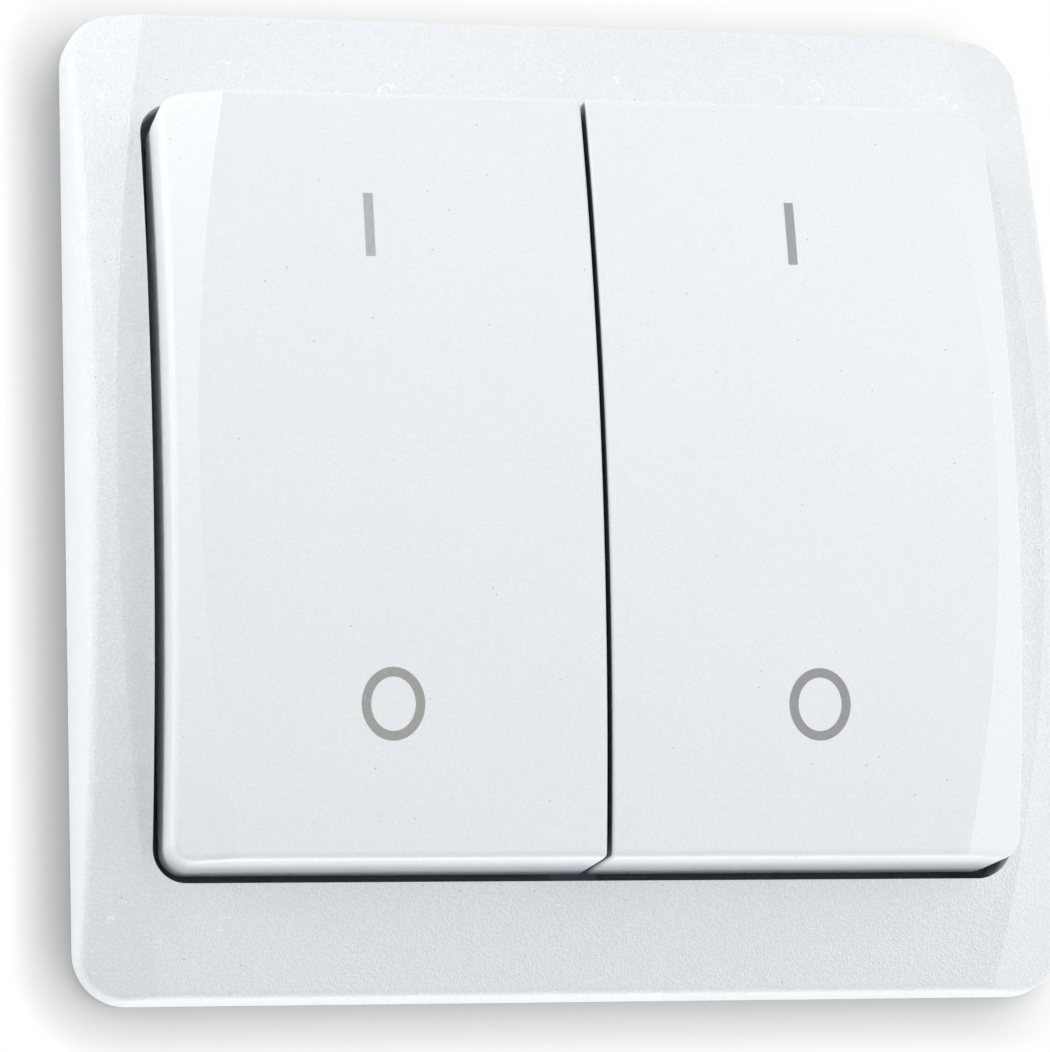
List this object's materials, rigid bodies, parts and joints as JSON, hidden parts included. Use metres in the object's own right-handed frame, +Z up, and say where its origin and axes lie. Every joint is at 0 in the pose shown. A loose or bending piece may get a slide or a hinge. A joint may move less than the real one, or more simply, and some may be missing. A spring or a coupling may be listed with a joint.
{
  "type": "wireless light switch",
  "caption": "Square surface-mounted wireless light switch: arched white cover frame, side-by-side sprung rockers with bar and ring marks, wall plate and coin-cell transmitter module.",
  "frame": {"origin": "centre of the wall plate's back face, on the wall", "axes": "+X to the right as seen from the front, +Y into the wall, +Z up"},
  "size_m": [0.08, 0.0178, 0.08],
  "materials": {
    "frame_plastic": "satin white moulded plastic with a fine grain",
    "rocker_plastic": "smooth satin white moulded plastic",
    "module_plastic": "plain black moulded plastic",
    "plate_plastic": "plain dark grey moulded plastic",
    "board_laminate": "green lacquered glass-fibre laminate",
    "silicone": "soft translucent grey silicone",
    "cell_steel": "nickel-plated steel",
    "contact_metal": "sprung bronze sheet",
    "chip_resin": "black moulding resin",
    "can_steel": "plain steel can",
    "copper_wire": "lacquered copper",
    "ceramic": "fired ceramic"
  },
  "bodies": {
    "housing": {"mounting_plate": "plate_plastic", "cover_frame": "frame_plastic", "module_base": "module_plastic", "module_cover": "module_plastic", "circuit_board": "board_laminate", "key_mat_left": "silicone", "key_mat_right": "silicone", "coin_cell": "cell_steel", "battery_cover": "module_plastic", "cell_negative_contact": "contact_metal", "cell_positive_contact": "contact_metal", "controller_chip": "chip_resin", "transmitter_chip": "chip_resin", "crystal": "can_steel", "saw_resonator": "can_steel", "antenna_wire": "copper_wire", "chip_capacitors": "ceramic", "chip_resistors": "chip_resin", "chip_inductors": "ceramic"},
    "left_key": {"rocker_left": "rocker_plastic"},
    "right_key": {"rocker_right": "rocker_plastic"}
  },
  "joints": [
    {"name": "left_rocker_tilt", "type": "hinge", "parent": "housing", "child": "left_key", "pos_m": [-0.017, -0.0118, 0], "axis": [1, 0, 0], "range_deg": [-3.5, 3.5], "stiffness_Nm_per_rad": 0.3, "deforming": ["key_mat_left"]},
    {"name": "right_rocker_tilt", "type": "hinge", "parent": "housing", "child": "right_key", "pos_m": [0.017, -0.0118, 0], "axis": [1, 0, 0], "range_deg": [-3.5, 3.5], "stiffness_Nm_per_rad": 0.3, "deforming": ["key_mat_right"]}
  ]
}
